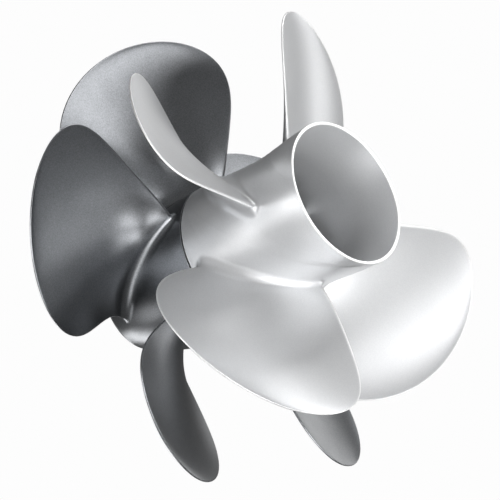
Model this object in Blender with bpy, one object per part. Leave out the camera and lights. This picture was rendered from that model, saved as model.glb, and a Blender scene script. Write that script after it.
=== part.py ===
"""A contra-rotating ship propeller pair on one shaft line.

The five-blade front propeller is left-handed and the four-blade rear propeller is right-handed. Each sits on
its own shaft, the rear one's inside the front one's, and both run in a bearing carrier inside the front hub.
Units are metres. The shaft line lies along Y, the stern is towards -Y, and +Z is up. The origin is the centre
of the carrier's flat mounting face. A station s is a distance aft of that face.
"""

import math

import bmesh
import bpy

# Shaft line stations, in order from the mounting face towards the stern
FLANGE_THICKNESS = 0.010
FRONT_RIM = 0.006
FRONT_HUB_LENGTH = 0.1575
HUB_JOINT_GAP = 0.002
REAR_HUB_LENGTH = 0.1765
JOINT = FRONT_RIM + FRONT_HUB_LENGTH
REAR_RIM = JOINT + HUB_JOINT_GAP
OUTLET = REAR_RIM + REAR_HUB_LENGTH

# Hub shells
FRONT_RIM_RADIUS = 0.049
FRONT_RIM_BORE = 0.0455
FRONT_CONE_END = 0.100
FRONT_FULLNESS = 2.4
JOINT_RADIUS = 0.084
REAR_WAIST = 0.256
REAR_WAIST_RADIUS = 0.0795
OUTLET_RADIUS = 0.086
BORE_RADIUS = 0.072
OUTLET_WALL = 0.0035
OUTLET_FLARE = 0.060

# Shafts, bushes and the carrier around them
INNER_SHAFT_RADIUS = 0.016
INNER_SPLINE_RADIUS = 0.013
BUSH_WALL = 0.003
OUTER_SHAFT_RADIUS = 0.026
CARRIER_RADIUS = 0.038
FLANGE_RADIUS = 0.039
FLANGE_BOLT_CIRCLE = 0.033
FLANGE_BOLT_RADIUS = 0.0025
FLANGE_BOLTS = 6
BARREL_RADIUS = 0.042
RIB_THICKNESS = 0.008
RIB_INSET = 0.002
FRONT_RIB_START = 0.104
RIB_COUNT = 4
SEAT_GAP = 0.0003
FOOT_GAP = 0.0004

# Stations of the parts on the shafts
SHAFT_START = FLANGE_THICKNESS + 0.005
CARRIER_END = 0.070
FRONT_BARREL_START = 0.078
FRONT_BARREL_END = 0.142
FRONT_NUT_LENGTH = 0.010
REAR_SHOULDER = 0.162
REAR_BARREL_START = 0.168
REAR_BARREL_END = 0.230
NUT_LENGTH = 0.014
NUT_ACROSS_CORNERS = 0.042

SHELL_SEGMENTS = 56
SHAFT_SEGMENTS = 32
BARREL_SEGMENTS = 40
BOLT_SEGMENTS = 12
NUT_BORE_SEGMENTS = 24


class Blades:
    """Shape of one propeller's blades: lengths in metres, along the helix or the shaft line."""

    def __init__(self, **sizes):
        self.__dict__.update(sizes)

    def chord(self, q):
        """Width of the blade at q, from 0 at the root to 1 at the tip."""
        c0, c1, c2, c3 = self.chord_terms
        full = c0 + q * (c1 + q * (c2 + q * c3))
        return full * math.sqrt(max(0.0, 1.0 - q**self.tip_fullness))

    def flare(self, q):
        """Extra width of the leading edge where it runs out on the hub."""
        return self.root_flare * (1.0 - q) ** 10

    def sweep(self, q):
        """How far the middle of the blade lies aft along its helix."""
        s1, s2, s3 = self.sweep_terms
        return q * (s1 + q * (s2 + q * s3))

    def rake(self, q):
        """How far the blade leans aft along the shaft line."""
        k1, k2 = self.rake_terms
        return q * (k1 + q * k2)

    def pitch_angle(self, q):
        """Angle between the section and the plane of rotation, steeper close to the root."""
        p0, p1, p2 = self.pitch_terms
        advance = p0 + q * (p1 + q * p2)
        radius = PITCH_BASE_RADIUS + q * (self.tip_radius - PITCH_BASE_RADIUS)
        return math.atan2(advance, math.tau * radius) + self.root_turn * (1.0 - q) ** 6

    def camber(self, q):
        """Hollow of the section, as a share of its width."""
        return CAMBER + self.root_camber * (1.0 - q) ** 6

    def thickness(self, q):
        """Greatest thickness of the blade section."""
        return self.root_thickness + (self.tip_thickness - self.root_thickness) * q**0.8


FRONT_BLADES = Blades(
    count=5,
    hand=-1,
    first_angle=math.radians(45.0),
    station=0.096,
    tip_radius=0.277,
    chord_terms=(0.129, 0.086, 0.334, -0.145),
    tip_fullness=2.5,
    root_flare=0.010,
    root_turn=0.12,
    root_camber=0.025,
    sweep_terms=(0.024, -0.151, 0.163),
    rake_terms=(0.018, 0.007),
    pitch_terms=(0.634, -0.320, 0.342),
    root_thickness=0.017,
    tip_thickness=0.0045,
)
REAR_BLADES = Blades(
    count=4,
    hand=1,
    first_angle=math.radians(-17.5),
    station=0.2275,
    tip_radius=0.263,
    chord_terms=(0.145, 0.338, -0.408, 0.234),
    tip_fullness=4.45,
    root_flare=0.0,
    root_turn=0.0,
    root_camber=0.0,
    sweep_terms=(-0.0215, 0.0755, 0.0075),
    rake_terms=(-0.010, 0.034),
    pitch_terms=(0.472, 0.623, -0.476),
    root_thickness=0.017,
    tip_thickness=0.0045,
)
PITCH_BASE_RADIUS = 0.082
BLADE_POINTS = 24
BLADE_RINGS = 11
FILLET_RADIUS = 0.007
FILLET_STEPS = 3
CAP_STEPS = 4
TIP_END = 0.999
CAMBER = 0.02


def clear_scene():
    """Removes whatever the file holds."""
    for item in list(bpy.data.objects):
        bpy.data.objects.remove(item, do_unlink=True)


def metal(name, colour, roughness, metallic=1.0):
    """A plain metal finish."""
    made = bpy.data.materials.new(name)
    made.use_nodes = True
    shader = made.node_tree.nodes["Principled BSDF"]
    shader.inputs["Base Color"].default_value = (*colour, 1.0)
    shader.inputs["Roughness"].default_value = roughness
    shader.inputs["Metallic"].default_value = metallic
    return made


def add_piece(name, shape, colour, roughness, parent=None):
    """Makes an object of a bmesh, in its own material, and hangs it on its body's axis."""
    bmesh.ops.recalc_face_normals(shape, faces=shape.faces)
    mesh = bpy.data.meshes.new(name)
    shape.to_mesh(mesh)
    shape.free()
    mesh.shade_smooth()
    mesh.set_sharp_from_angle(angle=math.radians(35))
    mesh.materials.append(metal(name + "_metal", colour, roughness))
    piece = bpy.data.objects.new(name, mesh)
    bpy.context.scene.collection.objects.link(piece)
    piece.parent = parent
    return piece


def axis_empty(name):
    """An empty on the shaft line that carries what turns with one propeller."""
    made = bpy.data.objects.new(name, None)
    bpy.context.scene.collection.objects.link(made)
    return made


def turned(profile, segments):
    """A closed (station, radius) outline spun round the shaft line."""
    shape = bmesh.new()
    points = [shape.verts.new((radius, -station, 0.0)) for station, radius in profile]
    edges = [shape.edges.new((a, b)) for a, b in zip(points, points[1:] + points[:1])]
    bmesh.ops.spin(
        shape,
        geom=points + edges,
        cent=(0, 0, 0),
        axis=(0, 1, 0),
        angle=math.tau,
        steps=segments,
        use_merge=True,
    )
    bmesh.ops.remove_doubles(shape, verts=shape.verts, dist=1e-6)
    on_axis = [edge for edge in shape.edges if not edge.link_faces]
    bmesh.ops.delete(shape, geom=on_axis, context="EDGES")
    return shape


def tube(start, end, inner, outer, segments=SHAFT_SEGMENTS):
    """A plain sleeve between two stations."""
    return turned([(start, inner), (start, outer), (end, outer), (end, inner)], segments)


def ease(low, high, part):
    """Goes smoothly from low to high as part goes from 0 to 1."""
    return low + (high - low) * part * part * (3.0 - 2.0 * part)


def hub_radius(station):
    """Outside radius of the two hub shells, which share one line: full at the joint, with a waist aft of it."""
    if station <= JOINT:
        part = min(1.0, (JOINT - station) / FRONT_HUB_LENGTH)
        return JOINT_RADIUS - (JOINT_RADIUS - FRONT_RIM_RADIUS) * part**FRONT_FULLNESS
    if station <= REAR_WAIST:
        return ease(JOINT_RADIUS, REAR_WAIST_RADIUS, (station - JOINT) / (REAR_WAIST - JOINT))
    part = min(1.0, (station - REAR_WAIST) / (OUTLET - REAR_WAIST))
    return ease(REAR_WAIST_RADIUS, OUTLET_RADIUS, part)


def shell(start, end, bore, rings):
    """A hub shell: the outside follows the hub line, and the bore its own (station, radius) points."""
    outside = [start + (end - start) * i / rings for i in range(rings + 1)]
    return turned([(s, hub_radius(s)) for s in outside] + bore, SHELL_SEGMENTS)


def ribs(name, start, end, parent, colour):
    """Straight ribs that join the barrel to the shell and leave the exhaust its way past."""
    low = BARREL_RADIUS + SEAT_GAP
    high = BORE_RADIUS - 2 * SEAT_GAP
    for i in range(RIB_COUNT):
        shape = bmesh.new()
        bmesh.ops.create_cube(shape, size=1.0)
        bmesh.ops.scale(shape, verts=shape.verts, vec=(high - low, end - start, RIB_THICKNESS))
        bmesh.ops.translate(shape, verts=shape.verts, vec=((low + high) / 2, -(start + end) / 2, 0))
        piece = add_piece(f"{name}_{i + 1}", shape, colour, 0.5, parent)
        piece.rotation_euler.y = -math.tau * (i + 0.5) / RIB_COUNT


def section(blades, q, side_points):
    """Closed outline of a blade section, as (along the arc, aft) pairs with their outward directions."""
    chord = blades.chord(q) + blades.flare(q)
    middle = blades.sweep(q) - blades.flare(q) / 2
    pitch_angle = blades.pitch_angle(q)
    along = (math.cos(pitch_angle), math.sin(pitch_angle))
    across = (-math.sin(pitch_angle), math.cos(pitch_angle))
    half = blades.thickness(q) / 2
    points = []
    for i in range(side_points):
        turn = math.tau * i / side_points
        run = math.cos(turn) / 2
        bulge = math.sin(turn)
        off = half * bulge * abs(bulge) ** 0.15 - blades.camber(q) * chord * (1 - (2 * run) ** 2)
        c = middle + run * chord
        points.append((c * along[0] + off * across[0], c * along[1] + off * across[1]))
    return points


def grown(points, distance):
    """The outline moved outwards by a distance, square to itself."""
    moved = []
    count = len(points)
    for i, (x, y) in enumerate(points):
        ax, ay = points[i - 1]
        bx, by = points[(i + 1) % count]
        dx, dy = bx - ax, by - ay
        size = math.hypot(dx, dy)
        moved.append((x + dy / size * distance, y - dx / size * distance))
    return moved


def blade_rings(blades):
    """Loops of points from the foot of a blade to its tip, in the propeller's own frame."""
    outlines = []
    for i in range(FILLET_STEPS):
        turn = math.pi / 2 * i / FILLET_STEPS
        lift = FILLET_RADIUS * (1 - math.cos(turn))
        spread = FILLET_RADIUS * (1 - math.sin(turn))
        outlines.append((0.0, lift, grown(section(blades, 0.0, BLADE_POINTS), spread)))
    for i in range(BLADE_RINGS):
        q = TIP_END * (1 - (1 - i / (BLADE_RINGS - 1)) ** 2)
        outlines.append((q, FILLET_RADIUS, section(blades, q, BLADE_POINTS)))
    loops = []
    for q, lift, outline in outlines:
        loop = []
        for arc, aft in outline:
            station = blades.station + blades.rake(q) + aft
            foot = hub_radius(station) + FOOT_GAP + lift
            radius = foot + q * (blades.tip_radius - foot)
            angle = blades.first_angle + blades.hand * arc / radius
            loop.append((radius * math.cos(angle), -station, radius * math.sin(angle)))
        loops.append(loop)
    return loops


def off_axis(a, b):
    """How far the middle of the line between two points is from the shaft line."""
    return math.hypot(a.co.x + b.co.x, a.co.z + b.co.z) / 2


def close_over(shape, blades, loop, on_hub):
    """Closes a loop with strips from one side of the section to the other. At the foot they follow the hub."""
    half = BLADE_POINTS // 2
    rows = [[loop[0]]]
    for i in range(1, half):
        start, end = loop[i], loop[-i]
        row = [start]
        for step in range(1, CAP_STEPS):
            middle = start.co.lerp(end.co, step / CAP_STEPS)
            if on_hub:
                size = (hub_radius(-middle.y) + FOOT_GAP) / math.hypot(middle.x, middle.z)
                middle.x *= size
                middle.z *= size
            row.append(shape.verts.new(middle))
        rows.append(row + [end])
    rows.append([loop[half]])
    for low, high in zip(rows, rows[1:]):
        for i in range(CAP_STEPS):
            a, b = low[min(i, len(low) - 1)], low[min(i + 1, len(low) - 1)]
            c, d = high[min(i + 1, len(high) - 1)], high[min(i, len(high) - 1)]
            outer_first = off_axis(a, c) >= off_axis(b, d)
            for corners in ((a, b, c), (a, c, d)) if outer_first else ((a, b, d), (b, c, d)):
                if len(set(corners)) == 3:
                    shape.faces.new(corners)


def blade_mesh(blades):
    """One blade as a closed skin over its loops."""
    shape = bmesh.new()
    loops = [[shape.verts.new(point) for point in loop] for loop in blade_rings(blades)]
    for low, high in zip(loops, loops[1:]):
        for i in range(BLADE_POINTS):
            j = (i + 1) % BLADE_POINTS
            shape.faces.new((low[i], low[j], high[j], high[i]))
    close_over(shape, blades, loops[0], True)
    close_over(shape, blades, loops[-1], False)
    bmesh.ops.triangulate(shape, faces=shape.faces)
    return shape


def blade_set(name, blades, parent, colour):
    """All the blades of one propeller, each a turned copy of the first."""
    for i in range(blades.count):
        piece = add_piece(f"{name}_{i + 1}", blade_mesh(blades), colour, 0.32, parent)
        piece.rotation_euler.y = -math.tau * i / blades.count


def circle(shape, station, radius, points, middle=(0.0, 0.0)):
    """A loop of points square to the shaft line, round a middle given as (x, z)."""
    ring = []
    for i in range(points):
        angle = math.tau * i / points
        ring.append(shape.verts.new((middle[0] + radius * math.cos(angle), -station,
                                     middle[1] + radius * math.sin(angle))))
    return ring


def wall(shape, low, high):
    """Faces between two loops of equal count."""
    for i in range(len(low)):
        j = (i + 1) % len(low)
        shape.faces.new((low[i], low[j], high[j], high[i]))


def flat_end(shape, loops):
    """Fills the flat face inside the first loop and round the others, which are its holes."""
    edges = [shape.edges.get((a, b)) for loop in loops for a, b in zip(loop, loop[1:] + loop[:1])]
    bmesh.ops.triangle_fill(shape, edges=edges, use_beauty=True, normal=(0.0, 1.0, 0.0))


def mounting_flange():
    """Flat plate that closes the carrier and bolts to the drive, with its bolt holes."""
    shape = bmesh.new()
    ends = []
    for station in (0.0, FLANGE_THICKNESS):
        loops = [circle(shape, station, FLANGE_RADIUS, BARREL_SEGMENTS)]
        for i in range(FLANGE_BOLTS):
            angle = math.tau * (i + 0.5) / FLANGE_BOLTS
            middle = (FLANGE_BOLT_CIRCLE * math.cos(angle), FLANGE_BOLT_CIRCLE * math.sin(angle))
            loops.append(circle(shape, station, FLANGE_BOLT_RADIUS, BOLT_SEGMENTS, middle))
        ends.append(loops)
    for low, high in zip(*ends):
        wall(shape, low, high)
    for loops in ends:
        flat_end(shape, loops)
    add_piece("mounting_flange", shape, STEEL, 0.4)


def hexagon_nut(name, start, bore, parent):
    """A chamfered hexagon nut on the shaft line."""
    shape = bmesh.new()
    corner = NUT_ACROSS_CORNERS / 2
    end = start + NUT_LENGTH
    outside = [circle(shape, station, corner * size, 6)
               for station, size in ((start, 0.92), (start + 0.002, 1.0), (end - 0.002, 1.0), (end, 0.92))]
    inside = [circle(shape, station, bore, NUT_BORE_SEGMENTS) for station in (start, end)]
    for low, high in [*zip(outside, outside[1:]), inside]:
        wall(shape, low, high)
    flat_end(shape, [outside[0], inside[0]])
    flat_end(shape, [outside[-1], inside[-1]])
    add_piece(name, shape, STEEL, 0.35, parent)


STEEL = (0.42, 0.43, 0.44)
BRONZE = (0.45, 0.35, 0.18)
FRONT_METAL = (0.13, 0.14, 0.15)
REAR_METAL = (0.55, 0.55, 0.56)


def build_carrier():
    """The fixed parts: mounting flange, bearing carrier and its bush."""
    mounting_flange()
    inner = OUTER_SHAFT_RADIUS + BUSH_WALL + SEAT_GAP * 2
    start = FLANGE_THICKNESS + SEAT_GAP
    add_piece("bearing_carrier", tube(start, CARRIER_END, inner, CARRIER_RADIUS, BARREL_SEGMENTS), STEEL, 0.45)
    bush_bore = OUTER_SHAFT_RADIUS + SEAT_GAP
    add_piece("carrier_bush", tube(start + 0.006, CARRIER_END, bush_bore, bush_bore + BUSH_WALL), BRONZE, 0.4)


def build_front():
    """The front propeller with its hollow shaft."""
    axis = axis_empty("front_propeller_axis")
    bush_bore = INNER_SHAFT_RADIUS + SEAT_GAP
    shaft_bore = bush_bore + BUSH_WALL + SEAT_GAP
    nut_start = FRONT_BARREL_END + SEAT_GAP
    shaft_end = nut_start + FRONT_NUT_LENGTH + 0.002
    add_piece("outer_shaft", tube(SHAFT_START, shaft_end, shaft_bore, OUTER_SHAFT_RADIUS), STEEL, 0.35, axis)
    add_piece("shaft_bush", tube(SHAFT_START, shaft_end, bush_bore, bush_bore + BUSH_WALL), BRONZE, 0.4, axis)
    bore_line = [(JOINT, BORE_RADIUS), (FRONT_CONE_END, BORE_RADIUS), (FRONT_RIM, FRONT_RIM_BORE)]
    add_piece("front_hub_shell", shell(FRONT_RIM, JOINT, bore_line, 10), FRONT_METAL, 0.32, axis)
    bore = OUTER_SHAFT_RADIUS + SEAT_GAP
    add_piece("front_thrust_washer",
              tube(CARRIER_END + SEAT_GAP, FRONT_BARREL_START - SEAT_GAP, bore, CARRIER_RADIUS, BARREL_SEGMENTS),
              BRONZE, 0.4, axis)
    add_piece("front_hub_barrel", tube(FRONT_BARREL_START, FRONT_BARREL_END, bore, BARREL_RADIUS, BARREL_SEGMENTS),
              FRONT_METAL, 0.5, axis)
    add_piece("front_shaft_nut", tube(nut_start, nut_start + FRONT_NUT_LENGTH, bore, 0.036), STEEL, 0.35, axis)
    ribs("front_hub_rib", FRONT_RIB_START, FRONT_BARREL_END - RIB_INSET, axis, FRONT_METAL)
    blade_set("front_blade", FRONT_BLADES, axis, FRONT_METAL)


def build_rear():
    """The rear propeller with its solid shaft."""
    axis = axis_empty("rear_propeller_axis")
    washer_end = REAR_BARREL_END + SEAT_GAP + 0.004
    nut_start = washer_end + SEAT_GAP
    shaft_end = nut_start + NUT_LENGTH + 0.005
    add_piece("inner_shaft", turned([(SHAFT_START, 0), (SHAFT_START, INNER_SHAFT_RADIUS),
                                     (REAR_SHOULDER, INNER_SHAFT_RADIUS), (REAR_SHOULDER, INNER_SPLINE_RADIUS),
                                     (shaft_end, INNER_SPLINE_RADIUS), (shaft_end, 0)], SHAFT_SEGMENTS),
              STEEL, 0.35, axis)
    bore = INNER_SPLINE_RADIUS + SEAT_GAP
    add_piece("rear_thrust_washer",
              tube(REAR_SHOULDER + SEAT_GAP, REAR_BARREL_START - SEAT_GAP, bore, 0.024), BRONZE, 0.4, axis)
    bore_line = [(OUTLET, OUTLET_RADIUS - OUTLET_WALL), (OUTLET - OUTLET_FLARE, BORE_RADIUS),
                 (REAR_RIM, BORE_RADIUS)]
    add_piece("rear_hub_shell", shell(REAR_RIM, OUTLET, bore_line, 12), REAR_METAL, 0.32, axis)
    add_piece("rear_hub_barrel", tube(REAR_BARREL_START, REAR_BARREL_END, bore, BARREL_RADIUS, BARREL_SEGMENTS),
              REAR_METAL, 0.5, axis)
    add_piece("rear_lock_washer", tube(REAR_BARREL_END + SEAT_GAP, washer_end, bore, 0.026), STEEL, 0.35, axis)
    hexagon_nut("rear_shaft_nut", nut_start, bore, axis)
    ribs("rear_hub_rib", REAR_BARREL_START + RIB_INSET, REAR_BARREL_END - RIB_INSET, axis, REAR_METAL)
    blade_set("rear_blade", REAR_BLADES, axis, REAR_METAL)


def main():
    """Builds the pair."""
    clear_scene()
    build_carrier()
    build_front()
    build_rear()


main()
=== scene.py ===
"""The looks of a contra-rotating ship propeller pair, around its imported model.

Two smooth castings stand for the faceted hub shells and blades, and two spiders for the hubs' barrels and
ribs. Finer turned parts stand for everything else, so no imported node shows. Units are metres. The shaft line
lies along Y, the stern is towards -Y, and +Z is up. A station is a distance aft of the mounting face, whose
centre is the origin.
"""

import logging
import math
from collections.abc import Callable
from dataclasses import dataclass
from enum import Enum

import bmesh
import bpy
from mathutils import Matrix, Vector


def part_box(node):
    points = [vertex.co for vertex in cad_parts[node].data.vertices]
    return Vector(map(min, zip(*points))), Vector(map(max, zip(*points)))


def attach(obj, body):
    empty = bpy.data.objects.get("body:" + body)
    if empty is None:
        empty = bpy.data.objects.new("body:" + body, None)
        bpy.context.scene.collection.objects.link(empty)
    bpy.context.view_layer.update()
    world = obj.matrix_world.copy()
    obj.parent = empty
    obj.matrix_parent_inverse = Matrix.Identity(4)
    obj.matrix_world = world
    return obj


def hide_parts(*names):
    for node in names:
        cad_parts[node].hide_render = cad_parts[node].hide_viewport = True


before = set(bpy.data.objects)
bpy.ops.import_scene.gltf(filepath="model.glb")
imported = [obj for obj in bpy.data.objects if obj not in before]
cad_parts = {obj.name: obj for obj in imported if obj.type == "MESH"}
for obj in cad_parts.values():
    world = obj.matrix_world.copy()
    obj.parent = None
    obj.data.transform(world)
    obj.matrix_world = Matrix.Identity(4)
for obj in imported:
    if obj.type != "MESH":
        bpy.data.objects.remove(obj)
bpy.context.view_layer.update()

Pair = tuple[float, float]
Line = list[Pair]
Socket = bpy.types.NodeSocket
Tree = bpy.types.NodeTree
Material = bpy.types.Material
Object = bpy.types.Object

log = logging.getLogger("propeller")
MERGE_DISTANCE = 2e-6
SLIVER = 2e-5
MM = 0.001
# Running fit between two turned pieces, and the gap between a spider and its hub
SEAT = 0.3 * MM
# Radius of the hubs' bore, beside their ribs
BORE = 72 * MM
# Radius of the inner shaft where it carries the rear propeller
SPLINE = 13 * MM
# Wall of the bushes
BUSH = 3 * MM


class Body(Enum):
    """The bodies that a piece can ride on."""

    CARRIER = "drive_stub"
    FRONT = "front_propeller"
    REAR = "rear_propeller"


class Slot(Enum):
    """The record's material slots."""

    FRONT_CASTING = "front_casting"
    REAR_CASTING = "rear_casting"
    BRONZE = "bearing_bronze"
    CARRIER = "carrier_steel"
    SHAFT = "shaft_steel"


def linear(colour: str) -> tuple[float, float, float, float]:
    """Turns an sRGB hex colour into linear values.

    Args:
        colour: The colour as "#rrggbb".

    Returns:
        Red, green, blue and an alpha of 1.
    """
    parts = [int(colour[i : i + 2], 16) / 255 for i in (1, 3, 5)]
    made = [p / 12.92 if p <= 0.04045 else ((p + 0.055) / 1.055) ** 2.4 for p in parts]
    return (made[0], made[1], made[2], 1.0)


def add_node(tree: Tree, kind: str, inputs: dict | None = None, **settings) -> bpy.types.Node:
    """Adds a node to a material with its settings and links.

    Args:
        tree: The node tree.
        kind: The node's type, without the prefix that all of them have.
        inputs: For an input's name or number, a value to set or an output socket to link.
        **settings: The node's own properties.

    Returns:
        The new node.
    """
    node = tree.nodes.new("ShaderNode" + kind)
    for name, value in settings.items():
        setattr(node, name, value)
    for name, value in (inputs or {}).items():
        if isinstance(value, Socket):
            tree.links.new(value, node.inputs[name])
        else:
            node.inputs[name].default_value = value
    return node


def station_span(node: str) -> Pair:
    """First and last station of a CAD node, from the bow towards the stern."""
    low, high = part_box(node)
    return -high.y, -low.y


def outer_radius(node: str) -> float:
    """Radius of a CAD node about the shaft line."""
    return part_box(node)[1].x


def ease(low: float, high: float, part: float) -> float:
    """Goes smoothly from low to high as part goes from 0 to 1."""
    return low + (high - low) * part * part * (3.0 - 2.0 * part)


def on_shaft_line(radius: float, station: float, angle: float) -> Vector:
    """The point at a radius, station and angle about the shaft line."""
    return Vector((radius * math.cos(angle), -station, radius * math.sin(angle)))


def heading(azimuth: float, elevation: float) -> Vector:
    """A direction from its elevation and its azimuth, which is 0 astern and rises to starboard."""
    flat = math.cos(elevation)
    return Vector((math.sin(azimuth) * flat, -math.cos(azimuth) * flat, math.sin(elevation)))


@dataclass(frozen=True)
class HubLine:
    """Outside line of the two hubs, which run on from one to the other."""

    front_rim: float
    joint: float
    outlet: float
    joint_radius: float
    outlet_radius: float
    front_radius: float = 49 * MM
    waist_radius: float = 79.5 * MM
    waist_aft: float = 92.5 * MM
    fullness: float = 2.4

    @property
    def waist(self) -> float:
        """Station of the rear hub's waist."""
        return self.joint + self.waist_aft

    def radius(self, station: float) -> float:
        """Outside radius of the hubs at a station."""
        if station <= self.joint:
            part = min(1.0, (self.joint - station) / (self.joint - self.front_rim))
            return self.joint_radius - (self.joint_radius - self.front_radius) * part**self.fullness
        if station <= self.waist:
            part = (station - self.joint) / (self.waist - self.joint)
            return ease(self.joint_radius, self.waist_radius, part)
        part = min(1.0, (station - self.waist) / (self.outlet - self.waist))
        return ease(self.waist_radius, self.outlet_radius, part)


@dataclass(frozen=True)
class BladeShape:
    """Shape of one propeller's blades. Along a blade, q goes from 0 at the root to 1 at the tip."""

    count: int
    hand: int
    first_angle: float
    station: float
    tip_radius: float
    chord_terms: tuple[float, ...]
    tip_fullness: float
    root_flare: float
    sweep_terms: tuple[float, ...]
    rake_terms: tuple[float, ...]
    pitch_terms: tuple[float, ...]
    root_turn: float = 0.0
    root_camber: float = 0.0
    root_thickness: float = 17 * MM
    tip_thickness: float = 4.5 * MM
    edge_thickness: float = 2.2 * MM
    root_edge_thickness: float = 4.2 * MM
    camber: float = 0.02
    pitch_base_radius: float = 82 * MM

    @staticmethod
    def _sum(terms: tuple[float, ...], q: float) -> float:
        """Adds up terms that belong to rising powers of q, from the first power."""
        return sum(term * q ** (power + 1) for power, term in enumerate(terms))

    def chord(self, q: float) -> float:
        """Width of the blade, with the leading edge's run-out at the hub."""
        full = self.chord_terms[0] + self._sum(self.chord_terms[1:], q)
        return full * math.sqrt(max(0.0, 1.0 - q**self.tip_fullness)) + self.flare(q)

    def flare(self, q: float) -> float:
        """Extra width of the leading edge where it runs out on the hub."""
        return self.root_flare * (1.0 - q) ** 10

    def middle(self, q: float) -> float:
        """How far the middle of the blade lies aft along its helix."""
        return self._sum(self.sweep_terms, q) - self.flare(q) / 2

    def pitch_angle(self, q: float) -> float:
        """Angle between the section and the plane of rotation, steeper close to the root."""
        pitch = self.pitch_terms[0] + self._sum(self.pitch_terms[1:], q)
        radius = self.pitch_base_radius + q * (self.tip_radius - self.pitch_base_radius)
        return math.atan2(pitch, math.tau * radius) + self.root_turn * (1.0 - q) ** 6

    @property
    def lean(self) -> float:
        """Angle that the root turns round the hub for each metre aft."""
        return 1.0 / math.tan(self.pitch_angle(0.0)) / self.pitch_base_radius

    def edge_distance(self, q: float, run: float) -> float:
        """Distance of a point of a section from the blade's outline, close to that outline.

        Args:
            q: Place along the blade.
            run: Place across the section, from -0.5 to 0.5.

        Returns:
            The distance in metres.
        """
        step = 1e-4
        other = q - step if q > 0.5 else q + step
        half = self.chord(q) / 2
        side = 1.0 if run >= 0 else -1.0
        moved = (self.middle(q) + side * half) - (self.middle(other) + side * self.chord(other) / 2)
        slope = moved / ((q - other) * (self.tip_radius - self.pitch_base_radius))
        return half * (1.0 - abs(2.0 * run)) / math.hypot(1.0, slope)

    def half_thickness(self, q: float, run: float) -> float:
        """Half the section's thickness: a full middle that thins to a rounded edge."""
        whole = self.root_thickness + (self.tip_thickness - self.root_thickness) * q**0.8
        edge = self.edge_thickness + (self.root_edge_thickness - self.edge_thickness) * (1.0 - q) ** 6
        round_off = 1.0 - min(1.0, self.edge_distance(q, run) / (edge / 2))
        lens = max(0.0, 1.0 - (2.0 * run) ** 2) ** 0.75 * math.sqrt(max(0.0, 1.0 - q**6))
        return edge / 2 * math.sqrt(1.0 - round_off * round_off) + (whole - edge) / 2 * lens

    def section(self, q: float, points: int) -> Line:
        """Closed outline of a section, from the trailing edge.

        Args:
            q: Place along the blade.
            points: Number of points in the outline.

        Returns:
            Pairs of the distance along the arc and the distance aft.
        """
        turn = self.pitch_angle(q)
        along = (math.cos(turn), math.sin(turn))
        across = (-math.sin(turn), math.cos(turn))
        camber = (self.camber + self.root_camber * (1.0 - q) ** 6) * self.chord(q)
        outline = []
        for i in range(points):
            run = math.cos(math.tau * i / points) / 2
            side = math.copysign(1.0, math.sin(math.tau * i / points)) if i % (points // 2) else 0.0
            off = side * self.half_thickness(q, run) - camber * (1 - (2 * run) ** 2)
            c = self.middle(q) + run * self.chord(q)
            outline.append((c * along[0] + off * across[0], c * along[1] + off * across[1]))
        return outline


def grown(outline: Line, distances: list[float]) -> Line:
    """Moves each point of a closed outline outwards, square to the outline.

    Args:
        outline: The points.
        distances: How far each one moves.

    Returns:
        The moved points.
    """
    count = len(outline)
    moved = []
    for i, (x, y) in enumerate(outline):
        before, after = outline[i - 1], outline[(i + 1) % count]
        dx, dy = after[0] - before[0], after[1] - before[1]
        size = math.hypot(dx, dy)
        moved.append((x + dy / size * distances[i], y - dx / size * distances[i]))
    return moved


def rounded_line(corners: Line, radius: float, steps: int = 4) -> Line:
    """Rounds off the inner corners of an open line of (station, radius) points.

    Args:
        corners: The line's points. The first and the last stay as they are.
        radius: How far before and after a corner its rounding reaches.
        steps: Number of parts in a rounding.

    Returns:
        The rounded line, with a point just beyond each rounding that keeps the straight runs flat.
    """
    line = [corners[0]]
    for i in range(1, len(corners) - 1):
        here = Vector(corners[i])
        back = Vector(corners[i - 1]) - here
        on = Vector(corners[i + 1]) - here
        reach = min(radius, back.length * 0.45, on.length * 0.45)
        start, end = here + back.normalized() * reach, here + on.normalized() * reach
        if back.length > 6 * reach:
            line.append(tuple(here + back.normalized() * reach * 2))
        for step in range(steps + 1):
            t = step / steps
            line.append(tuple(start * (1 - t) ** 2 + here * 2 * t * (1 - t) + end * t * t))
        if on.length > 6 * reach:
            line.append(tuple(here + on.normalized() * reach * 2))
    return line + [corners[-1]]


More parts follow.
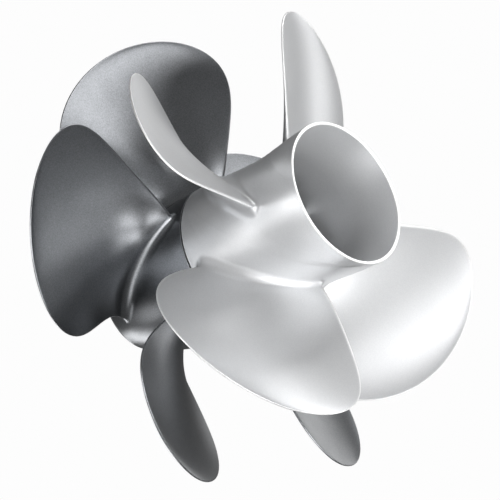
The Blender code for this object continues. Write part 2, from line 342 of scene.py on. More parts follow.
class Loft:
    """A skin that grows from a loop of points, one extruded loop after another."""

    def __init__(self, name: str, points: list[Vector], shine: list[float] | None = None) -> None:
        """Adds a circle and puts its points in their places.

        Args:
            name: The piece's name.
            points: The first loop.
            shine: How strongly each point takes the painted highlight of an edge, from 0 to 1.
        """
        bpy.ops.object.select_all(action="DESELECT")
        bpy.ops.mesh.primitive_circle_add(vertices=len(points), radius=MM)
        self.piece = bpy.context.object
        self.piece.name = name
        self.piece.data.name = name
        bpy.ops.object.mode_set(mode="EDIT")
        shape = bmesh.from_edit_mesh(self.piece.data)
        shape.verts.layers.int.new("order")
        # A layer for the painted highlight along edges and rims
        shape.verts.layers.float.new("edge_highlight")
        order = shape.verts.layers.int["order"]
        for i, vert in enumerate(shape.verts):
            vert[order] = i
        self._place(points, shine)

    def _place(self, points: list[Vector], shine: list[float] | None = None) -> None:
        """Puts the selected loop on its points."""
        shape = bmesh.from_edit_mesh(self.piece.data)
        order = shape.verts.layers.int["order"]
        worn = shape.verts.layers.float["edge_highlight"]
        for vert in shape.verts:
            if vert.select:
                vert.co = points[vert[order]]
                vert[worn] = shine[vert[order]] if shine else 0.0
        bmesh.update_edit_mesh(self.piece.data)

    def grow(self, points: list[Vector], shine: list[float] | None = None) -> None:
        """Extrudes the last loop and puts the new one on its points."""
        bpy.ops.mesh.extrude_region()
        self._place(points, shine)

    def pull_in(self, place: Callable[[Vector], Vector], shine: float) -> None:
        """Extrudes the selected loop and moves each new point by a rule.

        Args:
            place: Gives a point's new place.
            shine: How strongly the new points take the painted edge highlight, from 0 to 1.
        """
        bpy.ops.mesh.extrude_region()
        shape = bmesh.from_edit_mesh(self.piece.data)
        worn = shape.verts.layers.float["edge_highlight"]
        for vert in shape.verts:
            if vert.select:
                vert.co = place(vert.co)
                vert[worn] = shine
        bmesh.update_edit_mesh(self.piece.data)

    def weld(self, everything: bool) -> None:
        """Merges doubled points, of the whole skin or of the last loop."""
        if everything:
            bpy.ops.mesh.select_all(action="SELECT")
        bpy.ops.mesh.remove_doubles(threshold=MERGE_DISTANCE)

    def repeat(self, count: int) -> None:
        """Copies the skin round the shaft line and welds the copies to each other."""
        bpy.ops.mesh.select_all(action="SELECT")
        turn = math.tau * (count - 1) / count
        bpy.ops.mesh.spin(steps=count - 1, dupli=True, angle=turn, center=(0, 0, 0), axis=(0, 1, 0))
        self.weld(everything=True)

    def select_at(self, station: float) -> None:
        """Selects the points at a station."""
        bpy.ops.mesh.select_all(action="DESELECT")
        shape = bmesh.from_edit_mesh(self.piece.data)
        for vert in shape.verts:
            vert.select_set(abs(-vert.co.y - station) < 1e-5)
        shape.select_flush(True)
        bmesh.update_edit_mesh(self.piece.data)

    def bridge_open_ends(self) -> None:
        """Joins the two open loops that are left."""
        bpy.ops.mesh.select_all(action="DESELECT")
        bpy.ops.mesh.select_non_manifold()
        bpy.ops.mesh.bridge_edge_loops()

    def done(self, keep_shine: bool = False) -> Object:
        """Leaves edit mode with every face pointing out.

        Args:
            keep_shine: Whether the material reads the painted edge highlight attribute.

        Returns:
            The finished object.
        """
        bpy.ops.mesh.select_all(action="SELECT")
        bpy.ops.mesh.normals_make_consistent(inside=False)
        bpy.ops.object.mode_set(mode="OBJECT")
        attributes = self.piece.data.attributes
        attributes.remove(attributes["order"])
        if not keep_shine:
            attributes.remove(attributes["edge_highlight"])
        bpy.ops.object.shade_smooth()
        return self.piece


@dataclass(frozen=True)
class Finish:
    """A metal surface. Sizes of grain are in metres."""

    name: str
    colour: str
    dark: str
    roughness: float
    metallic: float = 1.0
    grain: float = 1.4 * MM
    grain_height: float = 0.02 * MM
    grain_contrast: float = 0.5
    patch: float = 30 * MM
    patch_contrast: float = 0.12
    roughness_spread: float = 0.015
    # Colour of the painted highlight along edges and rims, empty for none
    worn: str = ""
    turned_lines: float = 0.0

    def build(self) -> Material:
        """Makes the material."""
        made = bpy.data.materials.new(self.name)
        made.use_nodes = True
        tree = made.node_tree
        shader = tree.nodes["Principled BSDF"]
        shader.inputs["Metallic"].default_value = self.metallic
        place = add_node(tree, "TexCoord").outputs["Object"]
        grain = add_node(tree, "TexNoise", {"Vector": place, "Scale": 1 / self.grain, "Detail": 3.0,
                                                      "Roughness": 0.6}).outputs["Fac"]
        patch = add_node(tree, "TexNoise", {"Vector": place, "Scale": 1 / self.patch, "Detail": 4.0,
                                                      "Roughness": 0.55}).outputs["Fac"]
        colour = self._mottled(tree, grain, patch)
        # Painted highlight along the blades' edges and the hubs' rims
        if self.worn:
            colour = self._edges_highlighted(tree, colour)
        tree.links.new(colour, shader.inputs["Base Color"])
        spread = add_node(tree, "MapRange", {
            "Value": patch, "From Min": 0.3, "From Max": 0.7,
            "To Min": self.roughness - self.roughness_spread,
            "To Max": self.roughness + self.roughness_spread})
        tree.links.new(spread.outputs["Result"], shader.inputs["Roughness"])
        height = self._height(tree, place, grain)
        bump = add_node(tree, "Bump", {"Height": height, "Strength": 1.0, "Distance": self.grain_height})
        tree.links.new(bump.outputs["Normal"], shader.inputs["Normal"])
        return made

    def _mottled(self, tree: Tree, grain: Socket,
                 patch: Socket) -> Socket:
        """Colour that wanders between the two shades, by patches and by grain."""
        fine = add_node(tree, "MapRange", {"Value": grain, "From Min": 0.3, "From Max": 0.7,
                                                     "To Max": self.grain_contrast}).outputs["Result"]
        broad = add_node(tree, "MapRange", {"Value": patch, "From Min": 0.3, "From Max": 0.7,
                                                      "To Max": self.patch_contrast}).outputs["Result"]
        both = add_node(tree, "Math", {0: fine, 1: broad}, operation="ADD", use_clamp=True)
        mix = add_node(tree, "Mix", {"Factor": both.outputs["Value"]}, data_type="RGBA")
        mix.inputs[6].default_value = linear(self.colour)
        mix.inputs[7].default_value = linear(self.dark)
        return mix.outputs[2]

    def _edges_highlighted(self, tree: Tree, colour: Socket) -> Socket:
        """Painted highlight: colour that brightens along the blades' edges and the hubs' rims, in place of the
        glint of light on them.
        """
        shine = add_node(tree, "Attribute", attribute_name="edge_highlight").outputs["Fac"]
        mix = add_node(tree, "Mix", {"Factor": shine}, data_type="RGBA")
        tree.links.new(colour, mix.inputs[6])
        mix.inputs[7].default_value = linear(self.worn)
        return mix.outputs[2]

    def _height(self, tree: Tree, place: Socket,
                grain: Socket) -> Socket:
        """Height of the surface: its grain, or the rings that a lathe leaves."""
        if not self.turned_lines:
            return grain
        split = add_node(tree, "SeparateXYZ", {"Vector": place})
        squares = [add_node(tree, "Math", {0: split.outputs[axis], 1: 2.0}, operation="POWER")
                   for axis in ("X", "Z")]
        total = add_node(tree, "Math", {0: squares[0].outputs[0], 1: squares[1].outputs[0]},
                         operation="ADD")
        radius = add_node(tree, "Math", {0: total.outputs[0]}, operation="SQRT")
        along = add_node(tree, "Math", {0: radius.outputs[0], 1: split.outputs["Y"]}, operation="ADD")
        line = add_node(tree, "CombineXYZ", {"X": along.outputs[0]})
        rings = add_node(tree, "TexNoise", {"Vector": line.outputs[0],
                                                      "Scale": 1 / self.turned_lines, "Detail": 2.0})
        return rings.outputs["Fac"]


# Investment-cast stainless steel, belt-polished to a dark satin: broad soft reflections, very fine grain, and
# a faint painted highlight along edges and rims
POLISHED_CASTING = Finish("polished_cast_stainless", "#929497", "#76787b", 0.30, grain_height=0.003 * MM,
                          grain_contrast=0.9, worn="#a0a2a5")
# The same steel, bead-blasted to a pale even sheen, with a white painted highlight along edges and rims
BLASTED_CASTING = Finish("blasted_cast_stainless", "#cecfd0", "#c5c6c8", 0.38, metallic=0.6,
                         grain_height=0.003 * MM, grain_contrast=0.9, worn="#ffffff")
# Tin bronze, bored and turned: a dull gold with faint rings
TURNED_BRONZE = Finish("turned_tin_bronze", "#a98a52", "#8d7040", 0.34, turned_lines=0.5 * MM)
# Mild steel, turned and left bare: mid grey with faint rings
TURNED_STEEL = Finish("turned_steel", "#9a9c9f", "#7e8083", 0.36, turned_lines=0.6 * MM)
# Alloy steel, ground: brighter and smoother, with rings too fine to see drawn at 0.4 mm
GROUND_STEEL = Finish("ground_shaft_steel", "#b3b5b8", "#9a9da0", 0.25, turned_lines=0.4 * MM)


@dataclass
class Part:
    """What every piece of the object has: the body that it moves with and the nodes that it stands for."""

    name: str
    body: Body
    slot: Slot
    stands_for: tuple[str, ...]

    def hang(self, piece: Object, finish: Material) -> None:
        """Gives the piece its finish and hangs it on its body.

        Args:
            piece: The modelled piece.
            finish: Its material.
        """
        piece.data.materials.append(finish)
        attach(piece, self.body.value)
        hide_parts(*self.stands_for)
        log.info("%s: %d faces", self.name, len(piece.data.polygons))


@dataclass
class Casting(Part):
    """One propeller: its hub's skin and blades in one closed surface."""

    line: HubLine
    blades: BladeShape
    span: Pair
    bore: Line
    rim_round: float = 1.2 * MM
    across_points: int = 20
    along_points: int = 40
    side_fillet: float = 12 * MM
    end_fillet: float = 5 * MM
    fillet_steps: int = 9
    blade_rings: int = 36
    hub_rings: tuple[float, ...] = (0.05, 0.12, 0.21, 0.32, 0.46, 0.62, 0.79, 0.97)
    # How far in from a blade's edge its painted highlight reaches
    highlight_reach: float = 3 * MM

    @property
    def points(self) -> int:
        """Number of points in each loop."""
        return 2 * (self.across_points + self.along_points)

    def fillet(self, i: int) -> float:
        """Fillet radius at a point of the loop, larger along the blade's sides than at its edges."""
        side = abs(math.sin(math.tau * i / self.points)) ** 0.7
        return self.end_fillet + (self.side_fillet - self.end_fillet) * side

    def place(self, arc: float, aft: float, q: float, lift: float) -> Vector:
        """A point of the skin.

        Args:
            arc: Distance along the arc from the blade's own line.
            aft: Distance aft of the blade's own station.
            q: Place along the blade.
            lift: Height above the hub.

        Returns:
            The point.
        """
        station = self.blades.station + BladeShape._sum(self.blades.rake_terms, q) + aft
        foot = self.line.radius(station) + lift
        radius = foot + q * (self.blades.tip_radius - foot)
        return on_shaft_line(radius, station, self.blades.first_angle + self.blades.hand * arc / radius)

    def border(self) -> Line:
        """Border of one blade's share of the hub: a strip that leans like the blade.

        Returns:
            Pairs of angle and station, from the middle of the aft side, in the order of a section's points.
        """
        start, end = self.span[0] + self.rim_round, self.span[1] - self.rim_round
        half = math.pi / self.blades.count
        across, along = self.across_points, self.along_points
        corners = [(-i / (across // 2), end) for i in range(across // 2)]
        corners += [(-1.0, end + (start - end) * i / along) for i in range(along)]
        corners += [(-1.0 + 2.0 * i / across, start) for i in range(across)]
        corners += [(1.0, start + (end - start) * i / along) for i in range(along)]
        corners += [(1.0 - i / (across // 2), end) for i in range(across // 2)]
        own = self.blades
        return [(own.first_angle + own.hand * ((station - own.station) * own.lean + u * half), station)
                for u, station in corners]

    def build(self, finish: Material) -> None:
        """Makes the casting: hub skin, fillets, blades and bore in one go."""
        foot = self.blades.section(0.0, self.points)
        fillets = [self.fillet(i) for i in range(self.points)]
        outer = [self.place(arc, aft, 0.0, 0.0) for arc, aft in grown(foot, fillets)]
        inner_pairs = [self._unwrapped(point) for point in outer]
        border = self.border()
        shares = [1.0 - share for share in reversed(self.hub_rings)]
        loft = Loft(self.name, [self._on_hub(pair) for pair in border])
        for share in shares:
            loft.grow([self._on_hub((a[0] + (b[0] - a[0]) * share, a[1] + (b[1] - a[1]) * share))
                       for a, b in zip(border, inner_pairs)])
        for step in range(self.fillet_steps + 1):
            turn = math.pi / 2 * step / self.fillet_steps
            spread = [size * (1 - math.sin(turn)) for size in fillets]
            outline = grown(foot, spread)
            loft.grow([self.place(arc, aft, 0.0, size * (1 - math.cos(turn)))
                       for (arc, aft), size in zip(outline, fillets)])
        self._grow_blade(loft, fillets)
        loft.repeat(self.blades.count)
        self._line_bore(loft)
        self.hang(loft.done(keep_shine=True), finish)

    def _unwrapped(self, point: Vector) -> Pair:
        """Angle and station of a point, with the angle kept near the blade's own."""
        angle = math.atan2(point.z, point.x)
        own = self.blades
        near = own.first_angle + own.hand * (-point.y - own.station) * own.lean
        return angle + math.tau * round((near - angle) / math.tau), -point.y

    def _on_hub(self, pair: Pair) -> Vector:
        """The hub's point at an angle and a station."""
        return on_shaft_line(self.line.radius(pair[1]), pair[1], pair[0])

    def _grow_blade(self, loft: Loft, fillets: list[float]) -> None:
        """Extrudes the blade from its fillet to its tip and closes it there."""
        for ring in range(1, self.blade_rings + 1):
            q = 1.0 - (1.0 - ring / self.blade_rings) ** 2
            q = min(q, 0.9996)
            outline = self.blades.section(q, self.points)
            if ring == self.blade_rings:
                outline = [((a[0] + b[0]) / 2, (a[1] + b[1]) / 2)
                           for a, b in zip(outline, [outline[0]] + outline[:0:-1])]
            # Painted highlight, strongest at the blade's edge
            shine = []
            for i in range(self.points):
                run = math.cos(math.tau * i / self.points) / 2
                near = 1.0 - self.blades.edge_distance(q, run) / self.highlight_reach
                shine.append(max(0.0, near) ** 2)
            loft.grow([self.place(arc, aft, q, size) for (arc, aft), size in zip(outline, fillets)], shine)
        loft.weld(everything=False)

    def _line_bore(self, loft: Loft) -> None:
        """Turns the skin in over the fore rim, down the bore and round the aft rim."""
        start, end = self.span
        e = self.rim_round
        fore, aft = self.line.radius(start + e), self.line.radius(end - e)
        corners = [(start + e, fore), (start, fore), *self.bore, (end, aft), (end - e, aft)]
        loft.select_at(start + e)
        for station, radius in rounded_line(corners, e)[2:-2]:
            # The rims' rounding takes the painted highlight in full
            on_rim = min(station - start, end - station) < e / 2
            loft.pull_in(lambda point, s=station, r=radius: self._at(point, s, r), 1.0 if on_rim else 0.0)
        loft.bridge_open_ends()

    @staticmethod
    def _at(point: Vector, station: float, radius: float) -> Vector:
        """A point's own angle at another station and radius."""
        size = radius / math.hypot(point.x, point.z)
        return Vector((point.x * size, -station, point.z * size))


def turned(name: str, profile: Line, steps: int = 96) -> Object:
    """Spins a closed (station, radius) profile round the shaft line.

    Args:
        name: The object's name.
        profile: The profile's corners. Those of a solid piece end on the shaft line.
        steps: Number of flats round it.

    Returns:
        The solid.
    """
    loft = Loft(name, [on_shaft_line(radius, station, 0.0) for station, radius in profile])
    bpy.ops.mesh.spin(steps=steps, angle=math.tau, center=(0, 0, 0), axis=(0, 1, 0))
    loft.weld(everything=True)
    bpy.ops.mesh.select_all(action="SELECT")
    bpy.ops.mesh.delete_loose(use_verts=True, use_edges=True, use_faces=False)
    return loft.done()


def bar(name: str, outline: Line, start: float, end: float) -> Object:
    """A bar along the shaft line.

    Args:
        name: The object's name.
        outline: Its corners across the shaft line, as sideways and height.
        start: Its first station.
        end: Its last station.

    Returns:
        The solid.
    """
    loft = Loft(name, [Vector((x, -start, z)) for x, z in outline])
    loft.grow([Vector((x, -end, z)) for x, z in outline])
    for station in (start, end):
        loft.select_at(station)
        bpy.ops.mesh.fill()
    return loft.done()


def carve(piece: Object, tool: Object, operation: str = "DIFFERENCE") -> None:
    """Cuts a piece with a tool, or joins them, throws the tool away and clears slivers."""
    change = piece.modifiers.new("carved", "BOOLEAN")
    change.operation = operation
    change.solver = "EXACT"
    change.object = tool
    bpy.ops.object.select_all(action="DESELECT")
    bpy.context.view_layer.objects.active = piece
    bpy.ops.object.modifier_apply(modifier=change.name)
    bpy.data.objects.remove(tool, do_unlink=True)
    bpy.ops.object.mode_set(mode="EDIT")
    bpy.ops.mesh.select_all(action="SELECT")
    bpy.ops.mesh.remove_doubles(threshold=SLIVER)
    bpy.ops.mesh.dissolve_degenerate(threshold=SLIVER)
    bpy.ops.object.mode_set(mode="OBJECT")


def break_edges(piece: Object, width: float, angle: float = 40.0) -> None:
    """Rounds the edges that are sharper than an angle in degrees, and keeps flat faces evenly shaded."""
    bpy.ops.object.select_all(action="DESELECT")
    piece.select_set(True)
    bpy.context.view_layer.objects.active = piece
    if width:
        bevel = piece.modifiers.new("broken_edges", "BEVEL")
        bevel.width = width
        bevel.segments = 2
        bevel.limit_method = "ANGLE"
        bevel.angle_limit = math.radians(angle)
        bpy.ops.object.modifier_apply(modifier=bevel.name)
    bpy.ops.object.shade_smooth_by_angle(angle=math.radians(angle))
    even = piece.modifiers.new("even_shading", "WEIGHTED_NORMAL")
    even.keep_sharp = True
    bpy.ops.object.modifier_apply(modifier=even.name)


@dataclass
class TurnedPart(Part):
    """A piece turned on a lathe from a closed (station, radius) profile."""

    profile: Line
    edge: float = 0.6 * MM

    def build(self, finish: Material) -> None:
        """Turns the piece, cuts what isn't round and breaks its edges."""
        piece = turned(self.name, self.profile)
        self.machine(piece)
        break_edges(piece, self.edge)
        self.hang(piece, finish)

    def machine(self, piece: Object) -> None:
        """Cuts what a lathe can't. A plain turned piece has nothing of the kind."""


@dataclass
class Flange(TurnedPart):
    """The mounting flange, with its countersunk bolt holes."""

    bolts: int = 6
    bolt_circle: float = 33 * MM
    hole: float = 2.5 * MM
    countersink: float = 3.4 * MM

    def machine(self, piece: Object) -> None:
        """Drills the bolt holes and countersinks both of their ends."""
        start, end = station_span("mounting_flange")
        deep = self.countersink - self.hole
        profile = [(start - MM, 0.0), (start - MM, self.countersink + MM), (start + deep, self.hole),
                   (end - deep, self.hole), (end + MM, self.countersink + MM), (end + MM, 0.0)]
        for i in range(self.bolts):
            drill = turned("drill", profile, steps=24)
            drill.location = on_shaft_line(self.bolt_circle, 0.0, math.tau * (i + 0.5) / self.bolts)
            carve(piece, drill)


@dataclass
class SlottedNut(TurnedPart):
    """A round nut with slots for a hook spanner."""

    slots: int = 4
    slot_width: float = 7 * MM
    slot_depth: float = 3 * MM

    def machine(self, piece: Object) -> None:
        """Mills the slots across the nut."""
        start, end = station_span("front_shaft_nut")
        radius = outer_radius("front_shaft_nut")
        half = self.slot_width / 2
        for i in range(self.slots):
            turn = Matrix.Rotation(math.tau * (i + 0.5) / self.slots, 2)
            corners = ((radius - self.slot_depth, -half), (radius + MM, -half), (radius + MM, half),
                       (radius - self.slot_depth, half))
            outline = [tuple(turn @ Vector(corner)) for corner in corners]
            carve(piece, bar("cutter", outline, start - MM, end + MM))


@dataclass
class TabWasher(TurnedPart):
    """A lock washer with a tab bent up along the nut's flat."""

    flat: float = 18.2 * MM
    tab_width: float = 9 * MM
    tab_thickness: float = 1.8 * MM
    tab_height: float = 9 * MM
    clearance: float = 0.2 * MM

    def machine(self, piece: Object) -> None:
        """Adds the tab beside the flat that faces up."""
        end = station_span("rear_lock_washer")[1]
        half = self.tab_width / 2
        low = self.flat + self.clearance
        high = low + self.tab_thickness
        outline = [(-half, low), (half, low), (half, high), (-half, high)]
        carve(piece, bar("tab", outline, end - 2 * MM, end + self.tab_height), "UNION")


@dataclass
class HexagonNut(Part):
    """A hexagon nut, chamfered all round at both ends."""

    bore: float
    lead: float = 1.2 * MM
    chamfer: float = 1.4 * MM
    # How far the round end face lies inside the flats
    inset: float = 0.2 * MM
    points: int = 96

    def build(self, finish: Material) -> None:
        """Grows the nut from its fore face: chamfer, flats, chamfer, and back through the bore."""
        start, end = station_span("rear_shaft_nut")
        corner = outer_radius("rear_shaft_nut")
        across = corner * math.cos(math.pi / 6)
        face = across - self.inset
        angles = [math.tau * i / self.points for i in range(self.points)]
        flats = [across / math.cos(angle % (math.pi / 3) - math.pi / 6) for angle in angles]
        depths = [self.chamfer * (radius - face) / (corner - face) for radius in flats]
        loft = Loft(self.name, [on_shaft_line(face, start, angle) for angle in angles])
        for station, aft in ((start, 1.0), (end, -1.0)):
            loft.grow([on_shaft_line(radius, station + aft * depth, angle)
                       for radius, depth, angle in zip(flats, depths, angles)])
        for station, radius in ((end, face), (end, self.bore + self.lead), (end - self.lead, self.bore),
                                (start + self.lead, self.bore), (start, self.bore + self.lead)):
            loft.grow([on_shaft_line(radius, station, angle) for angle in angles])
        loft.bridge_open_ends()
        piece = loft.done()
        break_edges(piece, 0.0, angle=25.0)
        self.hang(piece, finish)


@dataclass
class Spider(Part):
    """A hub's barrel with the four ribs that carry the shell, filleted as cast."""

    hub: str
    shaft: float
    reach: float = BORE - SEAT
    half_width: float = 4 * MM
    fillet: float = 6 * MM
    # Thickness of a rib's foot where it ends on the shell
    lip: float = 1.5 * MM
    ribs: int = 4
    arc_steps: int = 6
    chamfer: float = 0.6 * MM

    @property
    def barrel(self) -> float:
        """Outside radius of the barrel."""
        return outer_radius(f"{self.hub}_barrel")

    def side(self, inset: float) -> list[Vector]:
        """One side of a rib's outline, from midway between two ribs to the rib's own middle line.

        Args:
            inset: How far the outline lies inside the rib's full size.

        Returns:
            Its points across the shaft line, with the rib's middle line level.
        """
        w, f = self.half_width, self.fillet
        low = Vector((math.sqrt((self.barrel + f) ** 2 - (w + f) ** 2), w + f))
        high = Vector((math.sqrt((self.reach - f) ** 2 - (w + f) ** 2), w + f))
        size = f + inset
        # The lower fillet starts on the barrel, and the upper one stops before it thins to a knife edge
        meets = (self.barrel**2 - low.length_squared - size**2) / (2 * low.length * size)
        start = math.atan2(low.y, low.x) + math.tau - math.acos(max(-1.0, meets))
        cut_back = math.acos(1.0 - self.lip * self.reach / ((self.reach - f) * f))
        stop = math.atan2(high.y, high.x) - cut_back
        first = low + Vector((math.cos(start), math.sin(start))) * size
        foot = high + Vector((math.cos(stop), math.sin(stop))) * size
        axis = Vector((0.0, 0.0))
        arcs = ((axis, self.barrel, math.pi / self.ribs, math.atan2(first.y, first.x)),
                (low, size, start, math.pi * 1.5),
                (high, size, -math.pi / 2, stop),
                (axis, self.reach - inset, math.atan2(foot.y, foot.x), 0.0))
        points = []
        for middle, radius, begin, last in arcs:
            for i in range(self.arc_steps + 1):
                turn = begin + (last - begin) * i / self.arc_steps
                points.append(middle + Vector((math.cos(turn), math.sin(turn))) * radius)
        # The first arc ends where the lower fillet starts
        del points[self.arc_steps]
        return points

    def levels(self, inset: float) -> list[list[Vector]]:
        """Loops that climb the ribs' flat ends, from the barrel's circle to the whole outline."""
        side = self.side(inset)
        made = []
        for k in range(self.arc_steps, 3 * self.arc_steps + 3):
            angle = math.atan2(side[k].y, side[k].x)
            rest = len(side) - 1 - k
            turns = [angle * (1.0 - i / rest) for i in range(1, rest + 1)]
            climbed = side[: k + 1] + [Vector((math.cos(t), math.sin(t))) * side[k].length for t in turns]
            whole = [Vector((p.x, -p.y)) for p in climbed] + climbed[-2:0:-1]
            made.append([Matrix.Rotation(math.tau * (i + 0.5) / self.ribs, 2) @ p
                         for i in range(self.ribs) for p in whole])
        return made

    def build(self, finish: Material) -> None:
        """Grows the spider from its fore end: barrel, ribs, barrel, and back through the bore."""
        start, end = station_span(f"{self.hub}_barrel")
        rib_start, rib_end = station_span(f"{self.hub}_rib_1")
        edge = self.chamfer
        levels = self.levels(edge)
        outline = self.levels(0.0)[-1]
        ring = [p.normalized() for p in levels[0]]
        fore = [(start, self.shaft + edge), (start, self.barrel - edge), (start + edge, self.barrel)]
        aft = [(end - edge, self.barrel), (end, self.barrel - edge), (end, self.shaft + edge),
               (end - edge, self.shaft), (start + edge, self.shaft)]
        loops = [
            *[(station, [p * radius for p in ring]) for station, radius in fore],
            *[(rib_start, level) for level in levels],
            (rib_start + edge, outline),
            (rib_end - edge, outline),
            *[(rib_end, level) for level in reversed(levels)],
            *[(station, [p * radius for p in ring]) for station, radius in aft],
        ]
        places = [[Vector((p.x, -station, p.y)) for p in loop] for station, loop in loops]
        loft = Loft(self.name, places[0])
        for place in places[1:]:
            loft.grow(place)
        loft.weld(everything=True)
        loft.bridge_open_ends()
        piece = loft.done()
        break_edges(piece, 0.0, angle=30.0)
        self.hang(piece, finish)


@dataclass(frozen=True)
class Softbox:
    """An oval lamp. Its place, width and height are angles in degrees, as seen from the object."""

    name: str
    azimuth: float
    elevation: float
    width: float
    height: float
    brightness: float

    def build(self, middle: Vector, distance: float) -> None:
        """Adds the lamp, turned to the middle of the object."""
        away = heading(math.radians(self.azimuth), math.radians(self.elevation))
        name = f"{self.name}_softbox"
        data = bpy.data.lights.new(name, "AREA")
        data.shape = "ELLIPSE"
        data.size = 2 * distance * math.tan(math.radians(self.width) / 2)
        data.size_y = 2 * distance * math.tan(math.radians(self.height) / 2)
        data.energy = self.brightness * math.pi * math.pi * data.size * data.size_y / 4
        lamp = bpy.data.objects.new(name, data)
        lamp.visible_camera = False
        bpy.context.scene.collection.objects.link(lamp)
        lamp.location = middle + away * distance
        lamp.rotation_euler = (-away).to_track_quat("-Z", "Y").to_euler()


@dataclass(frozen=True)
class Studio:
    """The floor, the lights and the camera."""

    azimuth: float = math.radians(-44.757)
    elevation: float = math.radians(-33.226)
    distance: float = 8.6
    lens: float = 557.8
    sensor: float = 36.0
    outlet_right: float = 107 * MM
    outlet_up: float = 63.6 * MM
    floor_height: float = -20.0
    floor_size: float = 300.0
    background: str = "#fdfdfd"
    light_distance: float = 3.0
    lights: tuple[Softbox, ...] = (
        Softbox("key", 14.0, -2.0, 32.0, 30.0, 3.7),
        Softbox("low_key", 43.0, -41.0, 27.0, 26.0, 5.9),
        Softbox("camera_side", -42.0, -36.0, 26.0, 26.0, 7.4),
        Softbox("under", -30.0, -63.0, 44.0, 30.0, 3.8),
        Softbox("port_under", -120.0, -62.0, 40.0, 26.0, 2.0),
        Softbox("spot", -34.0, -8.0, 18.0, 18.0, 8.0),
        Softbox("port", -130.0, -8.0, 26.0, 28.0, 4.4),
        Softbox("low_port", -118.0, -32.0, 26.0, 24.0, 2.3),
        Softbox("port_side", -92.0, 0.0, 30.0, 40.0, 0.6),
        Softbox("top", 0.0, 62.0, 60.0, 26.0, 4.0),
        Softbox("near_top", 9.0, 40.0, 16.0, 14.0, 2.2),
        Softbox("bow", 160.0, -12.0, 18.0, 18.0, 3.9),
        Softbox("low_bow", -168.0, -27.0, 18.0, 18.0, 1.3),
        Softbox("starboard", 74.0, 14.0, 28.0, 26.0, 2.2),
        Softbox("high_starboard", 106.0, 44.0, 18.0, 18.0, 1.2),
        Softbox("rim", 45.0, 33.0, 18.0, 18.0, 3.0),
    )

    def axes(self) -> tuple[Vector, Vector, Vector]:
        """Right, up and backward directions of the camera."""
        back = heading(self.azimuth, self.elevation)
        right = Vector((math.cos(self.azimuth), math.sin(self.azimuth), 0.0))
        return right, back.cross(right), back

    def build_camera(self, outlet: Vector) -> None:
        """Adds the camera at the photograph's angle.

        Args:
            outlet: Centre of the rear hub's open end.
        """
        right, up, back = self.axes()
        aim = outlet - right * self.outlet_right - up * self.outlet_up
        data = bpy.data.cameras.new("photo_camera")
        data.lens = self.lens
        data.sensor_width = self.sensor
        data.clip_end = 100.0
        camera = bpy.data.objects.new("photo_camera", data)
        bpy.context.scene.collection.objects.link(camera)
        turn = Matrix((right, up, back)).transposed().to_4x4()
        camera.matrix_world = Matrix.Translation(aim + back * self.distance) @ turn
        bpy.context.scene.camera = camera

    def build_lights(self, middle: Vector) -> None:
        """Adds the softboxes, each turned to the middle of the object."""
        for softbox in self.lights:
            softbox.build(middle, self.light_distance)

    def build_world(self) -> None:
        """A pale backdrop to the eye, and a dimmer grey room to the metal."""
        world = bpy.data.worlds.new("studio")
        bpy.context.scene.world = world
        bpy.context.scene.view_settings.view_transform = "Standard"
        world.use_nodes = True
        tree = world.node_tree
        tree.nodes.clear()
        seen = add_node(tree, "Background", {"Color": linear(self.background), "Strength": 1.0})
        room = add_node(tree, "Background", {"Color": linear("#ffffff"), "Strength": 0.11})
        path = add_node(tree, "LightPath")
        mix = add_node(tree, "MixShader", {0: path.outputs["Is Camera Ray"], 1: room.outputs[0],
                                                     2: seen.outputs[0]})
        add_node(tree, "OutputWorld", {"Surface": mix.outputs[0]})

    def build_floor(self) -> None:
        """A pale floor, far enough down that no low view of the pair is taken from beneath it."""
        bpy.ops.object.select_all(action="DESELECT")
        bpy.ops.mesh.primitive_plane_add(size=self.floor_size, location=(0, 0, self.floor_height))
        floor = bpy.context.object
        floor.name = "studio_floor"
        floor.visible_diffuse = False
        floor.visible_glossy = False
        # Opal sheet lit from below: as pale as the backdrop, so that no horizon shows in a high view
        opal = bpy.data.materials.new("lit_opal_floor")
        opal.use_nodes = True
        shader = opal.node_tree.nodes["Principled BSDF"]
        shader.inputs["Base Color"].default_value = linear("#000000")
        shader.inputs["Roughness"].default_value = 0.8
        shader.inputs["Specular IOR Level"].default_value = 0.0
        shader.inputs["Emission Color"].default_value = linear(self.background)
        shader.inputs["Emission Strength"].default_value = 1.0
        floor.data.materials.append(opal)


def numbered(name: str, count: int) -> list[str]:
    """Names of the nodes that are numbered from 1 to count."""
    return [f"{name}_{i}" for i in range(1, count + 1)]


def ring(name: str, body: Body, slot: Slot, node: str, bore: float, kind: type = TurnedPart) -> TurnedPart:
    """A turned part that stands for one node, with that node's length and outside radius."""
    (start, end), radius = station_span(node), outer_radius(node)
    return kind(name, body, slot, (node,), [(start, bore), (start, radius), (end, radius), (end, bore)])


def thread(start: float, end: float, crest: float) -> Line:
    """Profile of a thread. Its turns are drawn as rings, which look the same at this size."""
    pitch = 1.5 * MM
    depth = 0.8 * MM
    line = []
    for i in range(int((end - start) / pitch)):
        line += [(start + i * pitch, crest), (start + (i + 0.5) * pitch, crest - depth)]
    return line


def shaft_profile() -> Line:
    """Profile of the inner shaft: shoulder, threaded end and lathe centre."""
    start, end = station_span("inner_shaft")
    shoulder = station_span("rear_thrust_washer")[0] - SEAT
    radius = outer_radius("inner_shaft")
    chamfer = 1.0 * MM
    centre = 2.5 * MM
    return [(start, 0.0), (start, radius - chamfer), (start + chamfer, radius), (shoulder - chamfer, radius),
            (shoulder, radius - chamfer), (shoulder, SPLINE),
            *thread(station_span("rear_shaft_nut")[0], end - chamfer, SPLINE),
            (end - chamfer, SPLINE), (end, SPLINE - chamfer), (end, centre), (end - 2 * centre, 0.0)]


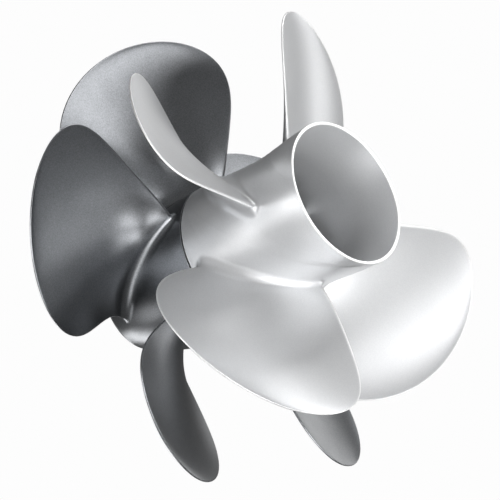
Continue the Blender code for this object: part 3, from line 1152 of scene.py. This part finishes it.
def castings() -> list[Casting]:
    """The two propellers."""
    front_rim, joint = station_span("front_hub_shell")
    rear_rim, outlet = station_span("rear_hub_shell")
    line = HubLine(front_rim, joint, outlet, outer_radius("front_hub_shell"), outer_radius("rear_hub_shell"))
    mouth_length, mouth_flare, mouth_steps = 60 * MM, 10.5 * MM, 8
    mouth = [(outlet - mouth_length * (1 - i / mouth_steps), BORE + mouth_flare * (i / mouth_steps) ** 1.5)
             for i in range(mouth_steps + 1)]
    front_mouth_radius = 45.5 * MM
    # How far the front bore keeps its full radius, and where the blades stand, from the hubs' joint
    full_bore, front_blades_fore, rear_blades_aft = 63.5 * MM, 67.5 * MM, 64 * MM
    front_blades = BladeShape(
        count=5, hand=-1, first_angle=math.radians(45.0),
        station=joint - front_blades_fore, tip_radius=277 * MM,
        chord_terms=(0.129, 0.086, 0.334, -0.145), tip_fullness=2.5, root_flare=10 * MM,
        root_turn=0.12, root_camber=0.025,
        sweep_terms=(0.024, -0.151, 0.163), rake_terms=(0.018, 0.007), pitch_terms=(0.634, -0.320, 0.342))
    rear_blades = BladeShape(
        count=4, hand=1, first_angle=math.radians(-17.5),
        station=joint + rear_blades_aft, tip_radius=263 * MM,
        chord_terms=(0.145, 0.338, -0.408, 0.234), tip_fullness=4.45, root_flare=0.0,
        sweep_terms=(-0.0215, 0.0755, 0.0075), rake_terms=(-0.010, 0.034),
        pitch_terms=(0.472, 0.623, -0.476))
    return [
        Casting("front_casting", Body.FRONT, Slot.FRONT_CASTING,
                ("front_hub_shell", *numbered("front_blade", 5)), line, front_blades,
                (front_rim, joint),
                [(front_rim, front_mouth_radius), (joint - full_bore, BORE), (joint, BORE)]),
        Casting("rear_casting", Body.REAR, Slot.REAR_CASTING,
                ("rear_hub_shell", *numbered("rear_blade", 4)), line, rear_blades,
                (rear_rim, outlet), [(rear_rim, BORE), *mouth], across_points=24, along_points=36),
    ]


def running_gear() -> list[Part]:
    """Everything inside the hubs: carrier, shafts, bushes, washers, nuts and the hubs' spiders."""
    outer_shaft = outer_radius("outer_shaft")
    inner_shaft = outer_radius("inner_shaft")
    front, rear, fixed = Body.FRONT, Body.REAR, Body.CARRIER
    bronze, steel = Slot.BRONZE, Slot.SHAFT
    return [
        ring("mounting_flange_plate", fixed, Slot.CARRIER, "mounting_flange", 0.0, Flange),
        ring("carrier_sleeve", fixed, Slot.CARRIER, "bearing_carrier", outer_shaft + BUSH + 2 * SEAT),
        ring("carrier_bearing_bush", fixed, bronze, "carrier_bush", outer_shaft + SEAT),
        ring("front_shaft", front, steel, "outer_shaft", inner_shaft + BUSH + 2 * SEAT),
        ring("front_shaft_bush", front, bronze, "shaft_bush", inner_shaft + SEAT),
        ring("front_thrust_ring", front, bronze, "front_thrust_washer", outer_shaft + SEAT),
        ring("front_ring_nut", front, steel, "front_shaft_nut", outer_shaft + SEAT, SlottedNut),
        Spider("front_hub_spider", front, Slot.FRONT_CASTING,
               ("front_hub_barrel", *numbered("front_hub_rib", 4)), "front_hub", outer_shaft + SEAT),
        TurnedPart("rear_shaft", rear, steel, ("inner_shaft",), shaft_profile(), edge=0.0),
        ring("rear_thrust_ring", rear, bronze, "rear_thrust_washer", SPLINE + SEAT),
        Spider("rear_hub_spider", rear, Slot.REAR_CASTING,
               ("rear_hub_barrel", *numbered("rear_hub_rib", 4)), "rear_hub", SPLINE + SEAT),
        ring("rear_tab_washer", rear, steel, "rear_lock_washer", SPLINE + SEAT, TabWasher),
        HexagonNut("rear_hexagon_nut", rear, steel, ("rear_shaft_nut",), SPLINE + SEAT),
    ]


def main() -> None:
    """Builds every piece in order, then the studio."""
    finishes = {
        Slot.FRONT_CASTING: POLISHED_CASTING.build(),
        Slot.REAR_CASTING: BLASTED_CASTING.build(),
        Slot.BRONZE: TURNED_BRONZE.build(),
        Slot.CARRIER: TURNED_STEEL.build(),
        Slot.SHAFT: GROUND_STEEL.build(),
    }
    for part in [*castings(), *running_gear()]:
        part.build(finishes[part.slot])
    outlet = station_span("rear_hub_shell")[1]
    studio = Studio()
    studio.build_world()
    studio.build_floor()
    studio.build_lights(Vector((0.0, -outlet / 2, 0.0)))
    studio.build_camera(Vector((0.0, -outlet, 0.0)))


if __name__ == "__main__":
    logging.basicConfig(level=logging.INFO, format="%(message)s")
    main()
